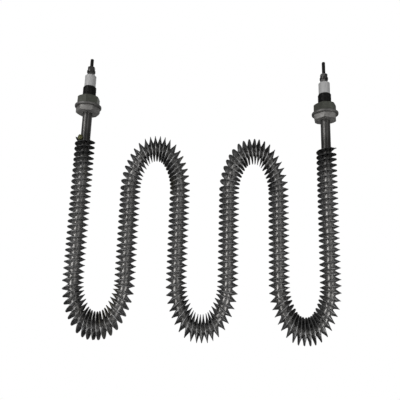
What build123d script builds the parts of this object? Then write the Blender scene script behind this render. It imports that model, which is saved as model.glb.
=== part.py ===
"""Finned tubular air heater.

A sheathed heating element is bent into a serpentine of upright legs. A steel strip is wound edgewise
round it as one long helical fin, and each end carries a threaded fitting, an insulator and a stud.
"""

import os
from itertools import pairwise
from math import acos, cos, degrees, hypot, pi, radians, sin, sqrt, tan

from build123d import *

os.makedirs("parts", exist_ok=True)

# Millimetres. The origin is midway between the two fittings, on the plane where they clamp a panel.
# +X runs from the left fitting to the right one, +Y to the back and +Z up along the terminals.

# Serpentine
leg_count = 6
leg_spacing = 51.0
straight_leg = 94.0
bend_rise = 44.0
crown_radius = 18.3
crown_depth = 37.3  # from the underside of the hex heads down to the centreline of the top bends

# Sheath and what it holds
tube_radius = 5.0
tube_wall = 0.9
coil_radius = 2.6
coil_socket = 8.0
cold_length = 70.0  # unheated length below the clamping plane
fit_clearance = 0.05

# Fin strip
fin_reach = 5.4
crown_fin_reach = 8.8  # the strip stands further out across the bends
fin_root_width = 1.1
leg_pitch = 5.9
crown_pitch = 4.2
fin_facets = 7  # stations in each turn
left_bare_length = 30.6
right_bare_length = 35.0

# Threaded fitting
thread_radius = 7.0
thread_length = 24.3
thread_chamfer = 1.0
hex_flats = 22.0
hex_height = 6.0
left_hex_turn = 15.0
right_hex_turn = 0.0
panel_washer_radius = 14.0
panel_washer_thickness = 2.6
panel_washer_round = 0.8
nut_flats = 21.0
nut_height = 9.2
left_nut_turn = 30.0
right_nut_turn = 0.0
corner_chamfer = 1.2
washer_clearance = 0.2

# Insulator and terminal
ceramic_radius = 6.0
ceramic_height = 14.0
ceramic_chamfer = 1.4
spigot_length = 8.0
seal_length = 5.0
stud_radius = 2.0
stud_proud = 0.8  # thread that stands above the upper nut
pin_radius = 1.8  # plain end of the stud
pin_round = 1.2
terminal_flats = 7.0
terminal_nut_height = 3.2
terminal_turn = 30.0
terminal_chamfer = 0.4
terminal_washer_radius = 4.5
terminal_washer_thickness = 1.0
spring_washer_radius = 3.8
spring_washer_thickness = 1.2
spring_washer_gap = 1.0
left_stud_reach = 10.0
right_stud_reach = 15.0

# Levels and radii that follow
top_crown = -hex_height - crown_depth
high_springing = top_crown - bend_rise
low_springing = high_springing - straight_leg
half_bend = leg_spacing / 2
crown_drop = bend_rise - crown_radius
flank_radius = (half_bend**2 + crown_drop**2 - crown_radius**2) / (2 * (half_bend - crown_radius))
crown_angle = degrees(acos(crown_drop / (flank_radius - crown_radius)))
flank_angle = 90 - crown_angle
bore_radius = tube_radius - tube_wall
filling_radius = bore_radius - fit_clearance
pin_hole_radius = stud_radius + fit_clearance
seal_top = thread_length - spigot_length
filling_top = seal_top - seal_length
ceramic_top = thread_length + ceramic_height
fitting_x = (leg_count - 1) * half_bend
fin_root = (tube_radius + fit_clearance) / cos(pi / fin_facets)  # its flats clear the tube


def serpentine(left_top, right_top):
    """Centreline of the tube, from a height on the first leg to a height on the last one."""
    with BuildLine(Plane.XZ) as line:
        start = left_top
        for leg in range(leg_count):
            x = leg * leg_spacing - fitting_x
            is_last = leg == leg_count - 1
            turn = 1 if leg % 2 == 0 else -1
            springing = low_springing if turn == 1 else high_springing
            straight = Line((x, start), (x, right_top if is_last else springing))
            if not is_last:
                flank = JernArc(straight @ 1, straight % 1, flank_radius, turn * flank_angle)
                crown = JernArc(flank @ 1, flank % 1, crown_radius, turn * 2 * crown_angle)
                JernArc(crown @ 1, crown % 1, flank_radius, turn * flank_angle)
            start = springing
    return line.wire()


def fin_stations(path):
    """Section planes of the strip, each through the tube's axis, with the strip's reach there."""
    sample_step = 0.25
    count = int(path.length / sample_step)
    travel = path.length / count
    turns = 0.0
    station = 0
    for index in range(count + 1):
        point = path.position_at(index * travel, position_mode=PositionMode.LENGTH)
        along = path.tangent_at(index * travel, position_mode=PositionMode.LENGTH)
        if turns * fin_facets >= station:
            angle = 2 * pi * station / fin_facets
            across = along.cross(Vector(0, 1, 0))
            outward = Vector(0, 1, 0) * cos(angle) + across * sin(angle)
            section = Plane(point, x_dir=outward, z_dir=along.cross(outward))
            widest = hypot(fin_reach * along.Z, crown_fin_reach * along.X)
            front = tube_radius + fin_reach
            side = tube_radius + widest
            yield section, 1 / hypot(cos(angle) / front, sin(angle) / side)
            station += 1
        turns += travel / hypot(leg_pitch * along.Z, crown_pitch * along.X)


def facet(*corners):
    """Flat triangular face."""
    return Face(Wire.make_polygon(corners, close=True))


def hexagon(x, low, height, flats, turn, chamfer_size):
    """Hexagonal prism round a fitting's axis, with its corners turned off at both ends."""
    corner = flats / sqrt(3)
    slope = chamfer_size * tan(radians(30))
    with BuildPart() as prism:
        with BuildSketch(Plane((x, 0, low))):
            RegularPolygon(flats / 2, 6, major_radius=False, rotation=turn)
        extrude(amount=height)
        with BuildSketch(Plane((x, 0, low), x_dir=(1, 0, 0), z_dir=(0, -1, 0))):
            with BuildLine():
                Polyline(
                    (0, 0),
                    (corner - chamfer_size, 0),
                    (corner, slope),
                    (corner, height - slope),
                    (corner - chamfer_size, height),
                    (0, height),
                    close=True,
                )
            make_face()
        revolve(axis=Axis((x, 0, low), (0, 0, 1)), mode=Mode.INTERSECT)
    return prism.part


def nut(x, low, height, flats, turn, chamfer_size, hole_radius):
    """Hexagonal nut with a plain hole."""
    with BuildPart() as body:
        add(hexagon(x, low, height, flats, turn, chamfer_size))
        with BuildSketch(Plane((x, 0, low))):
            Circle(hole_radius)
        extrude(amount=height, mode=Mode.SUBTRACT)
    return body.part


def ring(x, low, height, outer_radius, hole_radius):
    """Flat round piece with a hole, on a fitting's axis."""
    with BuildPart() as body:
        with BuildSketch(Plane((x, 0, low))):
            Circle(outer_radius)
            Circle(hole_radius, mode=Mode.SUBTRACT)
        extrude(amount=height)
    return body.part


def save(piece, name):
    """Label a finished piece and write it."""
    piece.label = name
    export_step(piece, f"parts/{name}.step")


# Sheath tube, from the mouth of one fitting to the mouth of the other
sheath_line = serpentine(thread_length, thread_length)
with BuildPart() as sheath_tube:
    with BuildSketch(Plane(sheath_line @ 0, z_dir=sheath_line % 0)):
        Circle(tube_radius)
        Circle(bore_radius, mode=Mode.SUBTRACT)
    sweep(path=sheath_line)
save(sheath_tube.part, "sheath_tube")

# Fin strip: a knife-edged helix, faceted straight from station to station
fin_line = serpentine(-hex_height - left_bare_length, -hex_height - right_bare_length)
sections = [
    (
        section_plane.from_local_coords(Vector(fin_root, -fin_root_width / 2, 0)),
        section_plane.from_local_coords(Vector(fin_root, fin_root_width / 2, 0)),
        section_plane.from_local_coords(Vector(tip_radius, 0, 0)),
    )
    for section_plane, tip_radius in fin_stations(fin_line)
]
facets = [facet(*sections[0]), facet(*sections[-1])]
for (foot, heel, tip), (next_foot, next_heel, next_tip) in pairwise(sections):
    facets += [
        facet(foot, heel, next_heel),
        facet(foot, next_heel, next_foot),
        facet(heel, tip, next_heel),
        facet(tip, next_tip, next_heel),
        facet(foot, tip, next_foot),
        facet(tip, next_tip, next_foot),
    ]
with BuildPart() as fin_strip:
    add(Solid(Shell(facets)))
save(fin_strip.part, "fin_strip")

# Heating coil: the outer form of the winding, with a socket at each end for the cold pin
coil_line = serpentine(-cold_length, -cold_length)
with BuildPart() as heating_coil:
    with BuildSketch(Plane(coil_line @ 0, z_dir=coil_line % 0)):
        Circle(coil_radius)
    sweep(path=coil_line)
    for x in (-fitting_x, fitting_x):
        with BuildSketch(Plane((x, 0, -cold_length))):
            Circle(pin_hole_radius)
        extrude(amount=-coil_socket, mode=Mode.SUBTRACT)
save(heating_coil.part, "heating_coil")

# Magnesia filling: packed round the coil, and round the cold pins above it
with BuildPart() as magnesia_filling:
    with BuildSketch(Plane(coil_line @ 0, z_dir=coil_line % 0)):
        Circle(filling_radius)
        Circle(coil_radius + fit_clearance, mode=Mode.SUBTRACT)
    sweep(path=coil_line)
    for x in (-fitting_x, fitting_x):
        with BuildSketch(Plane((x, 0, -cold_length))):
            Circle(filling_radius)
            Circle(pin_hole_radius, mode=Mode.SUBTRACT)
        extrude(amount=cold_length + filling_top)
save(magnesia_filling.part, "magnesia_filling")

# Fittings and terminals, the same on both sides apart from how far they are turned and drawn out
ends = (
    ("left", -fitting_x, left_hex_turn, left_nut_turn, left_stud_reach),
    ("right", fitting_x, right_hex_turn, right_nut_turn, right_stud_reach),
)
for side, x, hex_turn, nut_turn, stud_reach in ends:
    # Threaded bushing: a hex head below the panel and a threaded shank through it
    with BuildPart() as threaded_bushing:
        with BuildSketch(Plane((x, 0, 0))):
            Circle(thread_radius)
        extrude(amount=thread_length)
        chamfer(threaded_bushing.faces().sort_by(Axis.Z)[-1].edges(), thread_chamfer)
        add(hexagon(x, -hex_height, hex_height, hex_flats, hex_turn, corner_chamfer))
        with BuildSketch(Plane((x, 0, -hex_height))):
            Circle(tube_radius + fit_clearance)
        extrude(amount=hex_height + thread_length, mode=Mode.SUBTRACT)
    save(threaded_bushing.part, f"{side}_threaded_bushing")

    # Panel washer, with its rims rounded
    with BuildPart() as panel_washer:
        with BuildSketch(Plane((x, 0, 0))):
            Circle(panel_washer_radius)
        extrude(amount=panel_washer_thickness)
        fillet(panel_washer.edges().filter_by(GeomType.CIRCLE), panel_washer_round)
        with BuildSketch(Plane((x, 0, 0))):
            Circle(thread_radius + washer_clearance)
        extrude(amount=panel_washer_thickness, mode=Mode.SUBTRACT)
    save(panel_washer.part, f"{side}_panel_washer")

    # Panel nut
    panel_nut = nut(
        x,
        panel_washer_thickness,
        nut_height,
        nut_flats,
        nut_turn,
        corner_chamfer,
        thread_radius + fit_clearance,
    )
    save(panel_nut, f"{side}_panel_nut")

    # Ceramic bush: a collar on the mouth of the fitting and a spigot down into the sheath
    with BuildPart() as ceramic_bush:
        with BuildSketch(Plane((x, 0, thread_length))):
            Circle(ceramic_radius)
        extrude(amount=ceramic_height)
        chamfer(ceramic_bush.faces().sort_by(Axis.Z)[-1].edges(), ceramic_chamfer)
        with BuildSketch(Plane((x, 0, seal_top))):
            Circle(filling_radius)
        extrude(amount=spigot_length)
        with BuildSketch(Plane((x, 0, seal_top))):
            Circle(pin_hole_radius)
        extrude(amount=spigot_length + ceramic_height, mode=Mode.SUBTRACT)
    save(ceramic_bush.part, f"{side}_ceramic_bush")

    # End seal in the mouth of the sheath
    save(ring(x, filling_top, seal_length, filling_radius, pin_hole_radius), f"{side}_end_seal")

    # Terminal hardware, stacked on the ceramic bush
    level = ceramic_top
    stack = (
        ("lower_terminal_nut", terminal_nut_height),
        ("lower_terminal_washer", terminal_washer_thickness),
        ("upper_terminal_washer", terminal_washer_thickness),
        ("spring_washer", spring_washer_thickness),
        ("upper_terminal_nut", terminal_nut_height),
    )
    for name, height in stack:
        if name.endswith("nut"):
            piece = nut(
                x,
                level,
                height,
                terminal_flats,
                terminal_turn,
                terminal_chamfer,
                pin_hole_radius,
            )
        elif name.endswith("terminal_washer"):
            piece = ring(x, level, height, terminal_washer_radius, stud_radius + washer_clearance)
        else:
            with BuildPart() as spring_washer:
                add(ring(x, level, height, spring_washer_radius, stud_radius + washer_clearance))
                with BuildSketch(Plane((x, 0, level))):
                    Rectangle(
                        spring_washer_gap,
                        spring_washer_radius * 2,
                        align=(Align.CENTER, Align.MIN),
                    )
                extrude(amount=height, mode=Mode.SUBTRACT)
            piece = spring_washer.part
        save(piece, f"{side}_{name}")
        level += height

    # Terminal stud: a cold pin that reaches the coil, a threaded length and a plain rounded end
    thread_end = level + stud_proud
    with BuildPart() as terminal_stud:
        with BuildSketch(Plane((x, 0, -cold_length - coil_socket))):
            Circle(stud_radius)
        extrude(amount=cold_length + coil_socket + thread_end)
        with BuildSketch(Plane((x, 0, thread_end))):
            Circle(pin_radius)
        extrude(amount=stud_reach - stud_proud)
        fillet(terminal_stud.faces().sort_by(Axis.Z)[-1].edges(), pin_round)
    save(terminal_stud.part, f"{side}_terminal_stud")
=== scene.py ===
"""Finned tubular air heater: crimped strip, cut threads, strip ends and every finish."""

from itertools import pairwise
from math import acos, pi, radians, sqrt, tan

import bpy
import numpy as np
from mathutils import Matrix, Vector


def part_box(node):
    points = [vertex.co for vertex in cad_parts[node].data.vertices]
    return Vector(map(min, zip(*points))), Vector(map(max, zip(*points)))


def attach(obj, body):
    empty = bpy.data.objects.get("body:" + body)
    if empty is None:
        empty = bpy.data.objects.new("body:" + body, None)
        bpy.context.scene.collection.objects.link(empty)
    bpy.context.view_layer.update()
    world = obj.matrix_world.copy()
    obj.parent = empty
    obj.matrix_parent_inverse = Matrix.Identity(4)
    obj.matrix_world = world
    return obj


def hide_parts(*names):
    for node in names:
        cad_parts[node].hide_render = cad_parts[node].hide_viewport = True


bl_info = {
    "name": "Finned Air Heater",
    "version": (1, 0, 0),
    "blender": (4, 5, 0),
    "location": "3D Viewport > Sidebar > Heater",
    "description": "Crimped fins, cut threads and finishes for a finned tubular air heater",
    "category": "Object",
}

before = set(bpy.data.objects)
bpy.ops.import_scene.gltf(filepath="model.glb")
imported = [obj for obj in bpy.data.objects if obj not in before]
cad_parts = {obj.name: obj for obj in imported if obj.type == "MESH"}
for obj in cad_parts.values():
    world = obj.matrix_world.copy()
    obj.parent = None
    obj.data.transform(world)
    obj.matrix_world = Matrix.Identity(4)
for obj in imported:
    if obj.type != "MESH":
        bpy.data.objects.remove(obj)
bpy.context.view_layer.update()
SIDES = ("left", "right")
ROOT = "root"


# Lengths are in metres. +X runs from the left fitting to the right one, +Y to the back and +Z up.


def node_middle(node):
    """X of the middle of a frame node."""
    low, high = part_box(node)
    return (low.x + high.x) / 2


def node_levels(node):
    """Lowest and highest Z of a frame node."""
    low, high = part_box(node)
    return low.z, high.z


def node_radius(node):
    """Half the depth of a frame node that is round about its own axis."""
    low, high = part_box(node)
    return (high.y - low.y) / 2


# Settings


def size_setting(name, default, description):
    """Length that a user may change."""
    return bpy.props.FloatProperty(
        name=name,
        description=description,
        default=default,
        min=0,
        precision=5,
        subtype="DISTANCE",
        unit="LENGTH",
    )


def tone_setting(name, default, description):
    """Colour that a user may change."""
    return bpy.props.FloatVectorProperty(
        name=name,
        description=description,
        default=default,
        min=0,
        max=1,
        size=3,
        subtype="COLOR",
    )


class HeaterSizes(bpy.types.PropertyGroup):
    """Sizes of the wound strip, its ends and the threads."""

    straight_leg: size_setting("Straight Leg", 0.094, "Length of a leg between two bends")
    bend_rise: size_setting("Bend Rise", 0.044, "Height of a bend from its springing to its crown")
    crown_radius: size_setting("Crown Radius", 0.0183, "Radius of the tube's centreline at a crown")
    left_fin_top: size_setting("Left Bare Length", 0.0366, "Clamping plane to the first fin")
    right_fin_top: size_setting("Right Bare Length", 0.041, "Clamping plane to the last fin")
    fin_reach: size_setting("Fin Reach", 0.0054, "How far the strip stands out on a leg")
    crown_fin_reach: size_setting(
        "Crown Fin Reach", 0.0088, "How far the strip stands out at a crown"
    )
    leg_pitch: size_setting("Leg Pitch", 0.0059, "Distance between turns on a leg")
    crown_pitch: size_setting("Crown Pitch", 0.0042, "Distance between turns at a crown")
    strip_thickness: size_setting("Strip Thickness", 0.00045, "Thickness of the wound strip")
    crimp_depth: size_setting("Crimp Depth", 0.0025, "How far the foot's folds swing")
    foot_clearance: size_setting("Foot Clearance", 0.00006, "Gap between the tube and the strip")
    fitting_pitch: size_setting("Fitting Pitch", 0.0015, "Pitch of the fittings' thread")
    stud_pitch: size_setting("Stud Pitch", 0.0007, "Pitch of the studs' thread")
    crimps: bpy.props.FloatProperty(
        name="Crimps",
        description="Folds in the strip's foot in each turn",
        default=8.35,
        min=3,
        max=16,
    )


class HeaterTones(bpy.types.PropertyGroup):
    """Colours of the finishes."""

    sheath: tone_setting("Sheath", (0.132, 0.129, 0.125), "Drawn steel of the sheath")
    fins: tone_setting("Fins", (0.2, 0.2, 0.199), "Dark steel strip")
    tarnish: tone_setting("Tarnish", (0.16, 0.145, 0.085), "Olive tarnish on the strip")
    fitting: tone_setting("Fitting", (0.38, 0.372, 0.358), "Turned steel of the fittings")
    thread: tone_setting("Thread", (0.05, 0.05, 0.048), "Blackened thread of the fittings")
    washer: tone_setting("Washer", (0.21, 0.205, 0.197), "Plated panel washers")
    nut: tone_setting("Nut", (0.13, 0.136, 0.114), "Olive-grey passivated panel nuts")
    ceramic: tone_setting("Ceramic", (0.53, 0.528, 0.525), "Fired ceramic bushes")
    stud: tone_setting("Studs", (0.022, 0.021, 0.02), "Blackened terminal studs")
    terminal: tone_setting("Terminals", (0.12, 0.117, 0.113), "Darkened terminal hardware")
    weld: tone_setting("Weld", (0.42, 0.42, 0.16), "Yellow-green weld scale")


# Modelling helpers


def deselect():
    """Leave object mode with nothing selected."""
    if bpy.context.mode != "OBJECT":
        bpy.ops.object.mode_set(mode="OBJECT")
    bpy.ops.object.select_all(action="DESELECT")


def pick(piece):
    """Select a piece alone and make it active."""
    deselect()
    piece.select_set(True)
    bpy.context.view_layer.objects.active = piece


def named(name):
    """Name the object that an operator has just added."""
    piece = bpy.context.object
    piece.name = name
    piece.data.name = name
    return piece


def edit(piece, kinds=("FACE",)):
    """Open a piece alone in edit mode."""
    pick(piece)
    bpy.ops.object.mode_set(mode="EDIT")
    modes = [kind in kinds for kind in ("VERT", "EDGE", "FACE")]
    bpy.context.tool_settings.mesh_select_mode = modes


def close_edit():
    """Merge doubled points, turn every face outwards and leave edit mode."""
    merge_distance = 1e-6
    bpy.ops.mesh.select_all(action="SELECT")
    bpy.ops.mesh.remove_doubles(threshold=merge_distance)
    bpy.ops.mesh.normals_make_consistent(inside=False)
    bpy.ops.object.mode_set(mode="OBJECT")


def modify(piece, kind, **values):
    """Apply one modifier."""
    pick(piece)
    modifier = piece.modifiers.new(kind.title(), kind)
    for name, value in values.items():
        setattr(modifier, name, value)
    bpy.ops.object.modifier_apply(modifier=modifier.name)


def combine(piece, tool, operation):
    """Cut, join or trim a piece with another, which is used up."""
    modify(piece, "BOOLEAN", object=tool, operation=operation, solver="EXACT")
    bpy.data.objects.remove(tool)


def settle(piece, finish, replaced=(), smooth_angle=radians(35)):
    """Fix a piece's place, then give it its finish and its body, and hide the frame nodes that it
    replaces.
    """
    pick(piece)
    bpy.ops.object.transform_apply(location=True, rotation=True, scale=True)
    bpy.ops.object.shade_smooth_by_angle(angle=smooth_angle)
    piece.data.materials.clear()
    piece.data.materials.append(finish)
    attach(piece, ROOT)
    if replaced:
        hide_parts(*replaced)
    return piece


def turned(name, x, profile, sides=64):
    """Solid of revolution on a fitting's axis, drawn up ring by ring from its lowest face."""
    radius, level = profile[0]
    deselect()
    bpy.ops.mesh.primitive_circle_add(
        vertices=sides, radius=radius, fill_type="NGON", location=(x, 0, level)
    )
    piece = named(name)
    edit(piece)
    bpy.ops.mesh.select_all(action="SELECT")
    for (radius, level), (next_radius, next_level) in pairwise(profile):
        bpy.ops.mesh.extrude_region_move(
            TRANSFORM_OT_translate={"value": (0, 0, next_level - level)}
        )
        growth = next_radius / radius
        bpy.ops.transform.resize(value=(growth, growth, 1), center_override=(x, 0, next_level))
    close_edit()
    return piece


def threaded(name, x, low, high, crest, pitch, sides=48):
    """Right-handed screw thread with flat crests and roots, closed at both ends."""
    thread_depth = 0.6 * pitch
    crest_share = 0.14
    root_share = 0.26
    rise = (1 - crest_share - root_share) / 2
    ridge = (
        (crest - thread_depth, 0.0),
        (crest - thread_depth, root_share),
        (crest, root_share + rise),
        (crest, root_share + rise + crest_share),
        (crest - thread_depth, 1.0),
    )
    start = low - 2 * pitch
    deselect()
    bpy.ops.mesh.primitive_circle_add(vertices=len(ridge), radius=crest, fill_type="NOTHING")
    piece = named(name)
    edit(piece, ("EDGE",))
    bpy.ops.mesh.select_all(action="DESELECT")
    bpy.ops.object.mode_set(mode="OBJECT")
    for vertex, (radius, share) in zip(piece.data.vertices, ridge):
        vertex.co = Vector((radius, 0, share * pitch))
    closing = {0, len(ridge) - 1}
    for edge in piece.data.edges:
        edge.select = set(edge.vertices) == closing
    edit(piece, ("EDGE",))
    bpy.ops.mesh.delete(type="EDGE")
    bpy.ops.object.mode_set(mode="OBJECT")
    turns = int((high - start) / pitch) + 3
    modify(
        piece,
        "SCREW",
        angle=2 * pi,
        screw_offset=pitch,
        iterations=turns,
        steps=sides,
        render_steps=sides,
        use_merge_vertices=True,
    )
    piece.location = (x, 0, start)
    pick(piece)
    bpy.ops.object.transform_apply(location=True, rotation=True, scale=True)
    edit(piece)
    for level, clears in ((low, {"clear_inner": True}), (high, {"clear_outer": True})):
        bpy.ops.mesh.select_all(action="SELECT")
        bpy.ops.mesh.bisect(plane_co=(x, 0, level), plane_no=(0, 0, 1), use_fill=True, **clears)
    close_edit()
    return piece


# Node groups that the finishes share


def add_node(tree, kind, **values):
    """New node with its own properties set."""
    node = tree.nodes.new(kind)
    for name, value in values.items():
        setattr(node, name, value)
    return node


def plug(tree, socket, value):
    """Link an output to an input, or set the input's own value."""
    if isinstance(value, bpy.types.NodeSocket):
        tree.links.new(value, socket)
    else:
        socket.default_value = value


def feed(tree, node, **inputs):
    """Set or link a node's inputs by name; underscores stand for spaces."""
    for name, value in inputs.items():
        plug(tree, node.inputs[name.replace("_", " ")], value)
    return node


def new_group(name, inputs, outputs):
    """Empty node group with named sockets, and its two end nodes."""
    group = bpy.data.node_groups.new(name, "ShaderNodeTree")
    for label, kind, default in inputs:
        socket = group.interface.new_socket(label, in_out="INPUT", socket_type=kind)
        if default is not None:
            socket.default_value = default
    for label, kind in outputs:
        group.interface.new_socket(label, in_out="OUTPUT", socket_type=kind)
    given = add_node(group, "NodeGroupInput").outputs
    result = add_node(group, "NodeGroupOutput").inputs
    return group, given, result


def math_node(tree, operation, *values):
    """Output of one sum."""
    node = add_node(tree, "ShaderNodeMath", operation=operation)
    for socket, value in zip(node.inputs, values):
        plug(tree, socket, value)
    return node.outputs[0]


def ramp(tree, value, low, high):
    """Value stretched so that low becomes 0 and high becomes 1."""
    node = add_node(tree, "ShaderNodeMapRange", interpolation_type="SMOOTHSTEP")
    feed(tree, node, Value=value, From_Min=low, From_Max=high)
    return node.outputs[0]


def mixed(tree, share, first, second):
    """Two colours mixed."""
    node = add_node(tree, "ShaderNodeMix", data_type="RGBA")
    share_input, first_colour, second_colour, mixed_colour = 0, 6, 7, 2
    plug(tree, node.inputs[share_input], share)
    plug(tree, node.inputs[first_colour], first)
    plug(tree, node.inputs[second_colour], second)
    return node.outputs[mixed_colour]


def noise(tree, place, scale, **inputs):
    """Grey clouds, so many to the metre."""
    node = add_node(tree, "ShaderNodeTexNoise")
    feed(tree, node, Vector=place, Scale=scale, **inputs)
    return node.outputs["Fac"]


def build_mottle_group():
    """Cloudy change between two tones."""
    group, given, result = new_group(
        "Mottled Tone",
        (
            ("Vector", "NodeSocketVector", None),
            ("Tone", "NodeSocketColor", None),
            ("Patch Tone", "NodeSocketColor", None),
            ("Patches per Metre", "NodeSocketFloat", 60.0),
            ("Coverage", "NodeSocketFloat", 0.5),
        ),
        (("Color", "NodeSocketColor"), ("Mask", "NodeSocketFloat")),
    )
    clouds = noise(
        group, given["Vector"], given["Patches per Metre"], Detail=4.0, Roughness=0.6
    )
    threshold = math_node(group, "SUBTRACT", 0.75, given["Coverage"])
    mask = math_node(group, "SUBTRACT", clouds, threshold)
    mask = ramp(group, mask, low=-0.12, high=0.2)
    group.links.new(mixed(group, mask, given["Tone"], given["Patch Tone"]), result["Color"])
    group.links.new(mask, result["Mask"])
    return group


def build_grain_group():
    """Fine lines left by drawing or turning; the lines run along the vector's Z."""
    group, given, result = new_group(
        "Drawn Grain",
        (
            ("Vector", "NodeSocketVector", None),
            ("Lines per Metre", "NodeSocketFloat", 900.0),
            ("Line Length", "NodeSocketFloat", 0.03),
        ),
        (("Lines", "NodeSocketFloat"),),
    )
    squeeze = add_node(group, "ShaderNodeCombineXYZ")
    feed(group, squeeze, X=1.0, Y=1.0, Z=given["Line Length"])
    stretched = add_node(group, "ShaderNodeVectorMath", operation="MULTIPLY")
    group.links.new(given["Vector"], stretched.inputs[0])
    group.links.new(squeeze.outputs[0], stretched.inputs[1])
    lines = noise(group, stretched.outputs[0], given["Lines per Metre"], Detail=2.0)
    group.links.new(ramp(group, lines, low=0.3, high=0.7), result["Lines"])
    return group


def build_scuff_group():
    """Sparse short rubs where the metal has been handled."""
    group, given, result = new_group(
        "Handling Scuffs",
        (
            ("Vector", "NodeSocketVector", None),
            ("Scuffs per Metre", "NodeSocketFloat", 220.0),
            ("Amount", "NodeSocketFloat", 0.5),
        ),
        (("Mask", "NodeSocketFloat"),),
    )
    breaks_per_metre = 1900.0
    warp = noise(
        group, given["Vector"], given["Scuffs per Metre"], Detail=3.0, Distortion=1.5
    )
    fine = noise(group, given["Vector"], breaks_per_metre, Detail=2.0)
    broad = ramp(group, warp, low=0.56, high=0.72)
    broken = ramp(group, fine, low=0.42, high=0.62)
    mask = math_node(group, "MULTIPLY", broad, broken)
    group.links.new(math_node(group, "MULTIPLY", mask, given["Amount"]), result["Mask"])
    return group


def build_skin_group():
    """Roughness that varies a little, and a shallow relief."""
    group, given, result = new_group(
        "Metal Skin",
        (
            ("Vector", "NodeSocketVector", None),
            ("Base Roughness", "NodeSocketFloat", 0.35),
            ("Variation", "NodeSocketFloat", 0.1),
            ("Pits per Metre", "NodeSocketFloat", 1500.0),
        ),
        (("Roughness", "NodeSocketFloat"), ("Height", "NodeSocketFloat")),
    )
    smears_per_metre = 140.0
    pits = noise(group, given["Vector"], given["Pits per Metre"], Detail=3.0, Roughness=0.65)
    smears = noise(group, given["Vector"], smears_per_metre, Detail=3.0)
    swing = math_node(group, "SUBTRACT", smears, 0.5)
    swing = math_node(group, "MULTIPLY", swing, given["Variation"])
    swing = math_node(group, "MULTIPLY", swing, 2.0)
    group.links.new(math_node(group, "ADD", given["Base Roughness"], swing), result["Roughness"])
    group.links.new(pits, result["Height"])
    return group


PAINTED_HIGHLIGHT = "painted_highlight"  # the strip's record of where its highlight is painted: where it faces the lamps

GROUP_BUILDERS = {
    "Mottled Tone": build_mottle_group,
    "Drawn Grain": build_grain_group,
    "Handling Scuffs": build_scuff_group,
    "Metal Skin": build_skin_group,
}


def use_group(tree, name, **inputs):
    """Place a shared group in a material, and build it first where it is new."""
    group = bpy.data.node_groups.get(name) or GROUP_BUILDERS[name]()
    node = add_node(tree, "ShaderNodeGroup", node_tree=group)
    feed(tree, node, **inputs)
    return node.outputs


# Finishes


def shade(tone, factor):
    """Opaque colour made lighter or darker."""
    return (*(min(channel * factor, 1.0) for channel in tone), 1.0)


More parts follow.
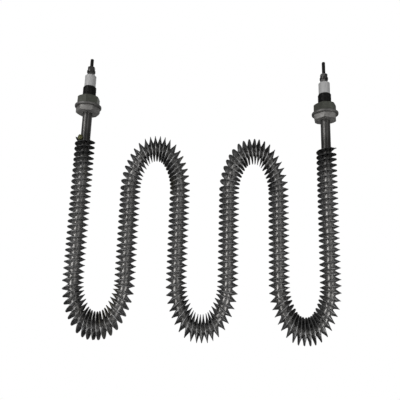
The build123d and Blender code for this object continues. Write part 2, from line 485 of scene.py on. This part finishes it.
def finish(
    name,
    tone,
    metallic,
    roughness,
    patch=0.72,
    coverage=0.45,
    patches=70.0,
    grain=0.0,
    scuffs=0.0,
    variation=0.1,
    pits=1500.0,
    relief=0.00003,
    tarnish=None,
    painted_foot_highlight=0.0,
    painted_highlight=0.0,
    finned=0.0,
    scorch=0.0,
):
    """Metal or ceramic finish on object coordinates; an effect set to 0 is left out."""
    name = f"{name}_finish"
    found = bpy.data.materials.get(name)
    if found:
        return found
    material = bpy.data.materials.new(name)
    material.use_nodes = True
    tree = material.node_tree
    shader = tree.nodes["Principled BSDF"]
    shader.inputs["Metallic"].default_value = metallic
    place = add_node(tree, "ShaderNodeTexCoord").outputs["Object"]
    mottle = use_group(
        tree,
        "Mottled Tone",
        Vector=place,
        Tone=shade(tone, 1.0),
        Patch_Tone=shade(tone, patch),
        Patches_per_Metre=patches,
        Coverage=coverage,
    )
    colour = mottle["Color"]
    skin = use_group(
        tree,
        "Metal Skin",
        Vector=place,
        Base_Roughness=roughness,
        Variation=variation,
        Pits_per_Metre=pits,
    )
    height = skin["Height"]
    rough = skin["Roughness"]
    if tarnish:
        clouds_per_metre = 17.0
        clouds = noise(tree, place, clouds_per_metre, Detail=3.0)
        cloud_mask = ramp(tree, clouds, low=0.58, high=0.74)
        colour = mixed(tree, cloud_mask, colour, shade(tarnish, 1.0))
    if grain:
        line_brightness = 1.35
        lines = use_group(tree, "Drawn Grain", Vector=place)["Lines"]
        share = math_node(tree, "MULTIPLY", lines, grain)
        colour = mixed(tree, share, colour, shade(tone, line_brightness))
        height = math_node(tree, "ADD", height, lines)
    if scuffs:
        scuff_brightness, scuff_shine = 1.9, 0.12
        mask = use_group(tree, "Handling Scuffs", Vector=place, Amount=scuffs)["Mask"]
        colour = mixed(tree, mask, colour, shade(tone, scuff_brightness))
        shine = math_node(tree, "MULTIPLY", mask, scuff_shine)
        rough = math_node(tree, "SUBTRACT", rough, shine)
    # Painted highlight: the crimped foot of the strip is painted paler, where its folds catch the
    # light.
    if painted_foot_highlight:
        across = add_node(tree, "ShaderNodeSeparateXYZ")
        feed(tree, across, Vector=add_node(tree, "ShaderNodeUVMap").outputs["UV"])
        foot_highlight_mask = ramp(tree, across.outputs["Y"], low=0.55, high=0.05)
        colour = mixed(tree, foot_highlight_mask, colour, shade(tone, painted_foot_highlight))
    # Painted highlight: the strip is painted paler where it faces forwards and a little down, as if
    # lit from the front and below, broken into patches by clouds.
    if painted_highlight:
        painted_highlight_mask = add_node(tree, "ShaderNodeAttribute", attribute_name=PAINTED_HIGHLIGHT).outputs["Fac"]
        breaks_per_metre = 330.0
        breaks = noise(tree, place, breaks_per_metre, Detail=2.0)
        unbroken = ramp(tree, breaks, low=0.25, high=0.6)
        painted_highlight_mask = math_node(tree, "MULTIPLY", painted_highlight_mask, unbroken)
        colour = mixed(tree, painted_highlight_mask, colour, shade(tone, painted_highlight))
    if finned or scorch:
        axes = feed(tree, add_node(tree, "ShaderNodeSeparateXYZ"), Vector=place)
        level = axes.outputs["Z"]
        # Painted light: the sheath is painted lighter where the fins cover it, so that it shows
        # bright between them against their shade.
        if finned:
            bare_level, finned_level = -0.040, -0.056
            under_fin_light_mask = ramp(tree, level, bare_level, finned_level)
            colour = mixed(tree, under_fin_light_mask, colour, shade(tone, finned))
        if scorch:
            lowest_mark, dark_from = -0.075, -0.045
            highest_mark, dark_to = -0.020, -0.032
            inner_side, outer_side = 0.100, 0.110
            end_mask = ramp(tree, level, lowest_mark, dark_from)
            above = ramp(tree, level, highest_mark, dark_to)
            end_mask = math_node(tree, "MULTIPLY", end_mask, above)
            side = math_node(tree, "ABSOLUTE", axes.outputs["X"])
            outside = ramp(tree, side, inner_side, outer_side)
            end_mask = math_node(tree, "MULTIPLY", end_mask, outside)
            colour = mixed(tree, end_mask, colour, shade(tone, scorch))
    bump = add_node(tree, "ShaderNodeBump")
    feed(tree, bump, Strength=0.6, Distance=relief, Height=height)
    tree.links.new(colour, shader.inputs["Base Color"])
    tree.links.new(rough, shader.inputs["Roughness"])
    tree.links.new(bump.outputs["Normal"], shader.inputs["Normal"])
    return material


def tones():
    """The colours as the user has set them."""
    return bpy.context.scene.heater_tones


def strip_finish():
    """Dark strip: olive in places, with painted highlights at its foot and where it faces the
    lamps, scorched at both ends.
    """
    return finish(
        "fin_steel",
        tones().fins,
        0.55,
        0.5,
        patch=0.6,
        patches=45.0,
        scuffs=0.25,
        variation=0.14,
        tarnish=tones().tarnish,
        painted_foot_highlight=1.3,
        painted_highlight=3.4,
        scorch=0.26,
    )


def dress(node, material):
    """Give a frame node its finish."""
    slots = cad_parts[node].material_slots
    if not slots:
        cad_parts[node].data.materials.append(material)
    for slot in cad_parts[node].material_slots:
        slot.material = material


# The route of the sheath and the winding of the strip


class Route:
    """Centreline of the finned sheath: straight runs and tangent arcs in one plane."""

    def __init__(self, sizes):
        left_x = node_middle("left_threaded_bushing")
        right_x = node_middle("right_threaded_bushing")
        tube_radius = node_radius("sheath_tube")
        lowest_crown = node_levels("sheath_tube")[0] + tube_radius
        low_springing = lowest_crown + sizes.bend_rise
        high_springing = low_springing + sizes.straight_leg
        leg_count = 6
        half_bend = (right_x - left_x) / (leg_count - 1) / 2
        crown_drop = sizes.bend_rise - sizes.crown_radius
        flank_radius = half_bend**2 + crown_drop**2 - sizes.crown_radius**2
        flank_radius /= 2 * (half_bend - sizes.crown_radius)
        crown_angle = acos(crown_drop / (flank_radius - sizes.crown_radius))
        flank_angle = pi / 2 - crown_angle
        tops = {0: -sizes.left_fin_top, leg_count - 1: -sizes.right_fin_top}
        self.parts = []
        lengths = []
        curvatures = []
        for leg in range(leg_count):
            top = tops.get(leg, high_springing)
            self.parts.append((f"leg_{leg + 1}", sum(lengths)))
            lengths.append(top - low_springing)
            curvatures.append(0.0)
            if leg < leg_count - 1:
                turn = 1 if leg % 2 == 0 else -1
                self.parts.append((f"bend_{leg + 1}", sum(lengths)))
                lengths += [
                    flank_radius * flank_angle,
                    sizes.crown_radius * 2 * crown_angle,
                    flank_radius * flank_angle,
                ]
                curvatures += [turn / flank_radius, turn / sizes.crown_radius, turn / flank_radius]
        self.bend_tallness = sizes.bend_rise / half_bend
        self.curvatures = np.array(curvatures)
        self.starts = np.concatenate(([0.0], np.cumsum(lengths)[:-1]))
        self.length = sum(lengths)
        self.parts.append(("end", self.length))
        headings = [-pi / 2]
        places = [(left_x, -sizes.left_fin_top)]
        for run, bend in zip(lengths, curvatures):
            places.append(self.step(*places[-1], headings[-1], run, bend))
            headings.append(headings[-1] + run * bend)
        self.headings = np.array(headings[:-1])
        self.places = np.array(places[:-1])

    def lean(self, heading, side_reach, crown_reach):
        """Slope at which a tall bend leans the strip from square across the tube."""
        up = crown_reach * self.bend_tallness
        slope = np.sin(heading) * np.cos(heading) * (up - side_reach)
        return slope / (side_reach * np.sin(heading) ** 2 + up * np.cos(heading) ** 2)

    @staticmethod
    def step(x, z, heading, run, bend):
        """Point reached by a run of one curvature."""
        if bend == 0:
            return x + run * np.cos(heading), z + run * np.sin(heading)
        after = heading + run * bend
        x += (np.sin(after) - np.sin(heading)) / bend
        z += (np.cos(heading) - np.cos(after)) / bend
        return x, z

    def at(self, distances):
        """X, Z and heading at distances along the route."""
        index = np.clip(np.searchsorted(self.starts, distances, side="right") - 1, 0, None)
        run = distances - self.starts[index]
        bend = self.curvatures[index]
        heading = self.headings[index]
        after = heading + run * bend
        safe = np.where(bend == 0, 1.0, bend)
        x = np.where(bend == 0, run * np.cos(heading), (np.sin(after) - np.sin(heading)) / safe)
        z = np.where(bend == 0, run * np.sin(heading), (np.cos(heading) - np.cos(after)) / safe)
        return self.places[index, 0] + x, self.places[index, 1] + z, after


class Winding:
    """How the strip turns round the route."""

    def __init__(self, sizes):
        self.sizes = sizes
        self.route = Route(sizes)
        self.tube_radius = node_radius("sheath_tube")
        self.lowest = node_levels("fin_strip")[0] + sizes.strip_thickness / 2
        samples = 5000
        self.distances = np.linspace(0, self.route.length, samples)
        pitch = self.pitch(self.route.at(self.distances)[2])
        steps = np.diff(self.distances) * 2 / (pitch[1:] + pitch[:-1])
        self.turns = np.concatenate(([0.0], np.cumsum(steps)))

    def pitch(self, heading):
        """Distance between turns, by the way the tube heads."""
        sizes = self.sizes
        return np.hypot(sizes.leg_pitch * np.sin(heading), sizes.crown_pitch * np.cos(heading))

    def painted_highlight(self, turn):
        """How bright the strip's painted highlight is.

        It is painted brightest where it faces forwards or backwards and a little down, where lamps
        in front and below would catch it, and brighter at a crown than on a leg.
        """
        downward = radians(22)
        squarest, fading = 0.99, 0.84
        leg_share = 0.375
        distance = np.interp(turn, self.turns, self.distances)
        level = np.cos(self.route.at(distance)[2])
        angle = 2 * pi * turn
        towards = np.abs(np.cos(angle)) * np.cos(downward)
        towards -= np.sin(angle) * level * np.sin(downward)
        towards /= np.hypot(np.cos(downward), level * np.sin(downward))
        band = np.clip((towards - fading) / (squarest - fading), 0, 1)
        return band * (leg_share + (1 - leg_share) * np.abs(level))

    def place(self, turn, share, lift=0.0):
        """Points of the strip, by the turns made and the share of its width from foot to edge.

        The lift raises the edge of a bent-up end. No point goes below the strip's own level.
        """
        sizes = self.sizes
        route = self.route
        beyond = turn - np.clip(turn, 0, self.turns[-1])
        distance = np.interp(turn, self.turns, self.distances) + beyond * sizes.leg_pitch
        heading = route.at(distance)[2]
        sine, cosine = np.sin(heading), np.cos(heading)
        angle = 2 * pi * turn
        front = self.tube_radius + sizes.fin_reach
        side = self.tube_radius + np.hypot(
            sizes.fin_reach * sine, sizes.crown_fin_reach * cosine
        )
        edge = 1 / np.hypot(np.cos(angle) / front, np.sin(angle) / side)
        foot = self.tube_radius + sizes.foot_clearance
        radius = foot + (edge - foot) * share
        fold_fade = 1.1
        fold = sizes.crimp_depth * self.pitch(heading) / sizes.leg_pitch
        fold = fold * np.clip(1 - share, 0, 1) ** fold_fade * np.sin(sizes.crimps * angle)
        wobble_depth = 0.00022
        wobble = wobble_depth * share * (np.sin(0.83 * turn) + np.sin(2.17 * turn + 1.1))
        lean = route.lean(heading, front, self.tube_radius + sizes.crown_fin_reach)
        x, z, foot_heading = route.at(distance + fold + wobble + lean * foot * np.sin(angle))
        foot_out = foot * np.sin(angle)
        fin_out = (radius - foot) * np.sin(angle)
        x = x - foot_out * np.sin(foot_heading) + fin_out * (lean * cosine - sine)
        z = z + foot_out * np.cos(foot_heading) + fin_out * (lean * sine + cosine)
        z = np.maximum(z + lift * share, self.lowest)
        return np.stack((x, radius * np.cos(angle), z), axis=1)


def wound_strip(name, winding, first, last, bent_end=None):
    """Crimped strip from one turn to another; a bent end gives its edge and lift by the turn."""
    steps_per_turn = 60
    rows = 4
    deselect()
    bpy.ops.mesh.primitive_grid_add(
        x_subdivisions=round((last - first) * steps_per_turn), y_subdivisions=rows, size=1
    )
    piece = named(name)
    flat = np.zeros(len(piece.data.vertices) * 3)
    piece.data.vertices.foreach_get("co", flat)
    along = flat.reshape(-1, 3)[:, 0] + 0.5
    across = flat.reshape(-1, 3)[:, 1] + 0.5
    turn = first + along * (last - first)
    lift = 0.0
    if bent_end:
        edge_share, lift = bent_end(turn)
        across = edge_share * across
    wound = winding.place(turn, across, lift)
    piece.data.vertices.foreach_set("co", wound.ravel())
    # Where the strip's painted highlight falls, point by point.
    painted_highlight = piece.data.attributes.new(PAINTED_HIGHLIGHT, "FLOAT", "POINT")
    painted_highlight.data.foreach_set("value", winding.painted_highlight(turn))
    piece.data.update()
    modify(
        piece,
        "SOLIDIFY",
        thickness=winding.sizes.strip_thickness,
        offset=0,
        use_even_offset=True,
    )
    edit(piece)
    bpy.ops.mesh.select_all(action="SELECT")
    bpy.ops.mesh.normals_make_consistent(inside=False)
    bpy.ops.object.mode_set(mode="OBJECT")
    return piece


class HEATER_OT_wind_strip(bpy.types.Operator):
    """Wind the crimped strip edgewise round the sheath, one piece for each leg and each bend"""

    bl_idname = "heater.wind_strip"
    bl_label = "Wind Fin Strip"

    def execute(self, context):
        winding = Winding(context.scene.heater_sizes)
        material = strip_finish()
        for (part, start), (_, end) in pairwise(winding.route.parts):
            first, last = np.interp((start, end), winding.distances, winding.turns)
            piece = wound_strip(f"fin_{part}", winding, first, last)
            settle(piece, material, ("fin_strip",))
        return {"FINISHED"}


def weld_bead(name, x, height, bearing, size):
    """Lumpy bead on the sheath, at a bearing from straight ahead."""
    tube_radius = node_radius("sheath_tube")
    sunk_share, lump_share, tallness = 0.55, 0.16, 1.25
    sunk = sunk_share * size
    out = Vector((np.sin(bearing), -np.cos(bearing), 0))
    centre = Vector((x, 0, height)) + out * (tube_radius + size - sunk)
    deselect()
    bpy.ops.mesh.primitive_ico_sphere_add(subdivisions=4, radius=size, location=centre)
    piece = named(name)
    for vertex in piece.data.vertices:
        across = vertex.co / size
        lumps = np.sin(5.1 * across.x + 1.3) * np.sin(4.3 * across.y)
        lumps += np.sin(9.0 * across.z + across.x)
        vertex.co *= 1 + lump_share * lumps / 2
        vertex.co.z *= tallness
    return piece


class HEATER_OT_finish_strip_ends(bpy.types.Operator):
    """Run each end of the strip out to a point and tack it to the sheath"""

    bl_idname = "heater.finish_strip_ends"
    bl_label = "Finish Strip Ends"

    def execute(self, context):
        winding = Winding(context.scene.heater_sizes)
        sizes = winding.sizes
        material = strip_finish()
        total = winding.turns[-1]
        side_share = 0.75  # where the strip passes the side of the tube
        first = side_share - 1
        last = np.floor(total - side_share) + 1 + side_share
        bent_turns = 0.09
        corner_reach = 1.04
        corner_lift = 0.0024
        reach_fade, lift_fade = 1.6, 1.4

        def bent(turns_from_end):
            """Reach and lift of the strip's edge, by how near its end is."""
            nearness = 1 - np.clip(turns_from_end / bent_turns, 0, 1)
            reach = 1 + (corner_reach - 1) * nearness**reach_fade
            return reach, corner_lift * nearness**lift_fade

        left = wound_strip("left_strip_end", winding, first, 0, lambda turn: bent(turn - first))
        settle(left, material, ("fin_strip",))
        right = wound_strip("right_strip_end", winding, total, last, lambda turn: bent(last - turn))
        settle(right, material, ("fin_strip",))
        scale = finish(
            "weld_scale", tones().weld, 0.35, 0.42, patch=0.25, patches=420.0, coverage=0.5
        )
        bead_size = 0.0027
        welds = {  # level, bearing and size
            "left": (0.0016 - sizes.left_fin_top, radians(-44), bead_size),
            "right": (0.0012 - sizes.right_fin_top, radians(120), bead_size * 0.6),
        }
        for side, weld in welds.items():
            bead = weld_bead(f"{side}_weld", node_middle(f"{side}_threaded_bushing"), *weld)
            settle(bead, scale, ("fin_strip",))
        return {"FINISHED"}


# Fittings


def hexagonal(name, x, low, high, flats, turn, chamfer, hole_radius):
    """Hexagon on a fitting's axis, its corners turned off at both ends, with a plain hole."""
    corner = flats / sqrt(3)
    slope = chamfer * tan(radians(30))
    deselect()
    bpy.ops.mesh.primitive_cylinder_add(
        vertices=6, radius=corner, depth=high - low, location=(x, 0, (low + high) / 2)
    )
    piece = named(name)
    edit(piece)
    bpy.ops.mesh.select_all(action="SELECT")
    bpy.ops.transform.rotate(value=turn, orient_axis="Z", center_override=(x, 0, 0))
    bpy.ops.object.mode_set(mode="OBJECT")
    blank = turned(
        "blank",
        x,
        (
            (corner - chamfer, low),
            (corner, low + slope),
            (corner, high - slope),
            (corner - chamfer, high),
        ),
        sides=96,
    )
    combine(piece, blank, "INTERSECT")
    overrun = 0.001
    drill = turned("drill", x, ((hole_radius, low - overrun), (hole_radius, high + overrun)))
    combine(piece, drill, "DIFFERENCE")
    return piece


class HEATER_OT_cut_fittings(bpy.types.Operator):
    """Make each fitting's hexagon head and its threaded shank"""

    bl_idname = "heater.cut_fittings"
    bl_label = "Cut Fitting Threads"

    def execute(self, context):
        sizes = context.scene.heater_sizes
        hex_flats = 0.022
        corner_chamfer = 0.0012
        lead_chamfer = 0.001
        shank_radius = 0.007
        overrun = 0.001
        lead_radius = shank_radius * 1.1
        lead_rise = lead_chamfer * 1.7
        bore_gap = 0.00005
        bore_radius = node_radius("sheath_tube") + bore_gap
        hex_turns = {"left": radians(25), "right": radians(19)}
        head_finish = finish("fitting_steel", tones().fitting, 0.7, 0.5, scuffs=0.35, grain=0.15)
        thread_finish = finish("fitting_thread", tones().thread, 0.8, 0.5, scuffs=0.2)
        for side in SIDES:
            node = f"{side}_threaded_bushing"
            x = node_middle(node)
            low, high = node_levels(node)
            head = hexagonal(
                f"{side}_hexagon_head",
                x,
                low,
                0.0,
                hex_flats,
                hex_turns[side],
                corner_chamfer,
                bore_radius,
            )
            settle(head, head_finish, (node,))
            shank = threaded(f"{side}_thread", x, 0.0, high, shank_radius, sizes.fitting_pitch)
            lead = turned(
                "lead",
                x,
                (
                    (lead_radius, -overrun),
                    (lead_radius, high - lead_rise),
                    (shank_radius - lead_chamfer, high),
                    (shank_radius - lead_chamfer, high + overrun),
                ),
            )
            combine(shank, lead, "INTERSECT")
            drill = turned("drill", x, ((bore_radius, -overrun), (bore_radius, high + overrun)))
            combine(shank, drill, "DIFFERENCE")
            settle(shank, thread_finish, (node,))
        return {"FINISHED"}


class HEATER_OT_thread_studs(bpy.types.Operator):
    """Make each terminal stud, threaded between its nuts, with a plain rounded end"""

    bl_idname = "heater.thread_studs"
    bl_label = "Thread Studs"

    def execute(self, context):
        sizes = context.scene.heater_sizes
        stud_radius = 0.002
        pin_radius = 0.0018
        tip_round = 0.0012
        proud = 0.0008
        sides = 32
        material = finish("stud_steel", tones().stud, 0.7, 0.45, scuffs=0.4)
        for side in SIDES:
            node = f"{side}_terminal_stud"
            x = node_middle(node)
            low, high = node_levels(node)
            thread_low = node_levels(f"{side}_lower_terminal_nut")[0]
            thread_high = node_levels(f"{side}_upper_terminal_nut")[1] + proud
            plain = turned(
                f"{side}_stud_core", x, ((stud_radius, low), (stud_radius, thread_low)), sides
            )
            settle(plain, material, (node,))
            thread = threaded(
                f"{side}_stud_thread",
                x,
                thread_low,
                thread_high,
                stud_radius,
                sizes.stud_pitch,
                sides,
            )
            settle(thread, material, (node,))
            arc = [
                (
                    pin_radius - tip_round * (1 - np.cos(radians(angle))),
                    high - tip_round * (1 - np.sin(radians(angle))),
                )
                for angle in (0, 22.5, 45, 67.5, 90)
            ]
            tip = turned(f"{side}_stud_end", x, ((pin_radius, thread_high), *arc), sides)
            settle(tip, material, (node,))
        return {"FINISHED"}


class HEATER_OT_finish_hardware(bpy.types.Operator):
    """Give the sheath, the washers, the nuts, the bushes and what they hold their finishes"""

    bl_idname = "heater.finish_hardware"
    bl_label = "Finish Hardware"

    def execute(self, context):
        colours = tones()
        sheath = finish(
            "sheath_steel",
            colours.sheath,
            0.9,
            0.38,
            grain=0.5,
            scuffs=0.3,
            # Painted light: the sheath is painted lighter where the fins shade it.
            finned=1.95,
            scorch=0.45,
        )
        dress("sheath_tube", sheath)
        wire_tone = (0.23, 0.21, 0.19)
        magnesia_tone = (0.72, 0.71, 0.68)
        resin_tone = (0.09, 0.06, 0.04)
        dress("heating_coil", finish("resistance_wire", wire_tone, 1.0, 0.45))
        dress("magnesia_filling", finish("magnesia", magnesia_tone, 0.0, 0.9, relief=0.0001))
        washer = finish("washer_steel", colours.washer, 0.6, 0.5, scuffs=0.4, patches=120.0)
        nut = finish("nut_steel", colours.nut, 0.6, 0.5, scuffs=0.4, patches=110.0)
        ceramic = finish(
            "ceramic",
            colours.ceramic,
            0.0,
            0.42,
            patch=0.9,
            patches=160.0,
            variation=0.06,
            pits=2600.0,
        )
        resin = finish("seal_resin", resin_tone, 0.0, 0.5)
        terminal = finish("terminal_steel", colours.terminal, 1.0, 0.36, scuffs=0.6, patches=300.0)
        for side in SIDES:
            dress(f"{side}_panel_washer", washer)
            dress(f"{side}_panel_nut", nut)
            dress(f"{side}_ceramic_bush", ceramic)
            dress(f"{side}_end_seal", resin)
            for name in (
                "lower_terminal_nut",
                "lower_terminal_washer",
                "upper_terminal_washer",
                "spring_washer",
                "upper_terminal_nut",
            ):
                dress(f"{side}_{name}", terminal)
        return {"FINISHED"}


# Stage


def by_camera_ray(tree, unseen, seen):
    """One shader for what the camera sees and another for all that the light meets."""
    path = add_node(tree, "ShaderNodeLightPath")
    mix = add_node(tree, "ShaderNodeMixShader")
    tree.links.new(path.outputs["Is Camera Ray"], mix.inputs[0])
    tree.links.new(unseen.outputs[0], mix.inputs[1])
    tree.links.new(seen.outputs[0], mix.inputs[2])
    return mix.outputs[0]


def stage_white():
    """White to the camera and light grey to the metal."""
    material = bpy.data.materials.new("stage_white")
    material.use_nodes = True
    tree = material.node_tree
    shader = tree.nodes["Principled BSDF"]
    feed(tree, shader, Base_Color=(0.6, 0.6, 0.6, 1.0), Roughness=0.9)
    glow = feed(tree, add_node(tree, "ShaderNodeEmission"), Color=(1, 1, 1, 1), Strength=1.0)
    surface = tree.nodes["Material Output"].inputs["Surface"]
    tree.links.new(by_camera_ray(tree, shader, glow), surface)
    return material


def soft_light(name, place, target, width, height, power):
    """Rectangular soft light that faces a target."""
    deselect()
    bpy.ops.object.light_add(type="AREA", location=place)
    light = bpy.context.object
    light.name = name
    light.data.shape = "RECTANGLE"
    light.data.size = width
    light.data.size_y = height
    light.data.energy = power
    light.rotation_euler = (Vector(target) - Vector(place)).to_track_quat("-Z", "Y").to_euler()


class HEATER_OT_set_stage(bpy.types.Operator):
    """Lay the floor, hang the soft lights and set the camera"""

    bl_idname = "heater.set_stage"
    bl_label = "Set Stage"

    def execute(self, context):
        scene = context.scene
        scene.view_settings.view_transform = "Standard"
        floor_radius, floor_level = 14, -0.62
        deselect()
        bpy.ops.mesh.primitive_circle_add(
            vertices=96, radius=floor_radius, fill_type="NGON", location=(0, 0, floor_level)
        )
        floor = named("floor")
        bpy.ops.object.transform_apply(location=True, rotation=True, scale=True)
        floor.data.materials.append(stage_white())

        world = bpy.data.worlds.new("studio")
        scene.world = world
        world.use_nodes = True
        tree = world.node_tree
        tree.nodes.clear()
        seen = feed(tree, add_node(tree, "ShaderNodeBackground"), Color=(1, 1, 1, 1), Strength=1.0)
        unseen_strength = 0.21
        unseen = add_node(tree, "ShaderNodeBackground")
        feed(tree, unseen, Color=(1, 1, 1, 1), Strength=unseen_strength)
        output = add_node(tree, "ShaderNodeOutputWorld")
        tree.links.new(by_camera_ray(tree, unseen, seen), output.inputs["Surface"])

        middle = (0, 0, -0.12)
        low_bends = (0, 0, -0.22)
        for light in (  # name, place, target, width, height and watts
            ("left_soft_light", (-0.95, -0.85, 0.02), middle, 0.5, 1.3, 8.6),
            ("right_soft_light", (0.6, -1.05, 0.0), middle, 0.35, 1.3, 1.4),
            ("low_soft_light", (0.7, -0.65, -0.55), low_bends, 0.5, 0.5, 3.8),
            ("back_soft_light", (0.3, 1.3, 0.5), middle, 0.9, 0.9, 1.5),
        ):
            soft_light(*light)

        eye = (-0.0057, -0.4622, -0.2005)
        lens, sensor_width = 41.4, 36
        yaw, pitch, roll = radians(-0.16), radians(12.59), radians(-1.67)
        turn = Matrix.Rotation(yaw, 4, "Z") @ Matrix.Rotation(pitch, 4, "X")
        turn = turn @ Matrix.Rotation(roll, 4, "Y")
        upright = Matrix.Rotation(pi / 2, 4, "X")
        deselect()
        bpy.ops.object.camera_add(location=eye, rotation=(turn @ upright).to_euler())
        camera = bpy.context.object
        camera.name = "camera"
        camera.data.lens = lens
        camera.data.sensor_width = sensor_width
        scene.camera = camera
        return {"FINISHED"}


class HEATER_PT_panel(bpy.types.Panel):
    """Sidebar list of the heater's steps and settings"""

    bl_label = "Heater"
    bl_idname = "HEATER_PT_panel"
    bl_space_type = "VIEW_3D"
    bl_region_type = "UI"
    bl_category = "Heater"

    def draw(self, context):
        column = self.layout.column()
        for operator in OPERATORS:
            column.operator(operator.bl_idname)
        for settings in (context.scene.heater_sizes, context.scene.heater_tones):
            column.separator()
            for name in settings.__annotations__:
                column.prop(settings, name)


OPERATORS = (
    HEATER_OT_wind_strip,
    HEATER_OT_finish_strip_ends,
    HEATER_OT_cut_fittings,
    HEATER_OT_thread_studs,
    HEATER_OT_finish_hardware,
    HEATER_OT_set_stage,
)
CLASSES = (HeaterSizes, HeaterTones, *OPERATORS, HEATER_PT_panel)


def register():
    for item in CLASSES:
        bpy.utils.register_class(item)
    bpy.types.Scene.heater_sizes = bpy.props.PointerProperty(type=HeaterSizes)
    bpy.types.Scene.heater_tones = bpy.props.PointerProperty(type=HeaterTones)


def unregister():
    del bpy.types.Scene.heater_tones
    del bpy.types.Scene.heater_sizes
    for item in reversed(CLASSES):
        bpy.utils.unregister_class(item)


def main():
    register()
    bpy.ops.heater.wind_strip()
    bpy.ops.heater.finish_strip_ends()
    bpy.ops.heater.cut_fittings()
    bpy.ops.heater.thread_studs()
    bpy.ops.heater.finish_hardware()
    bpy.ops.heater.set_stage()


if __name__ == "__main__":
    main()
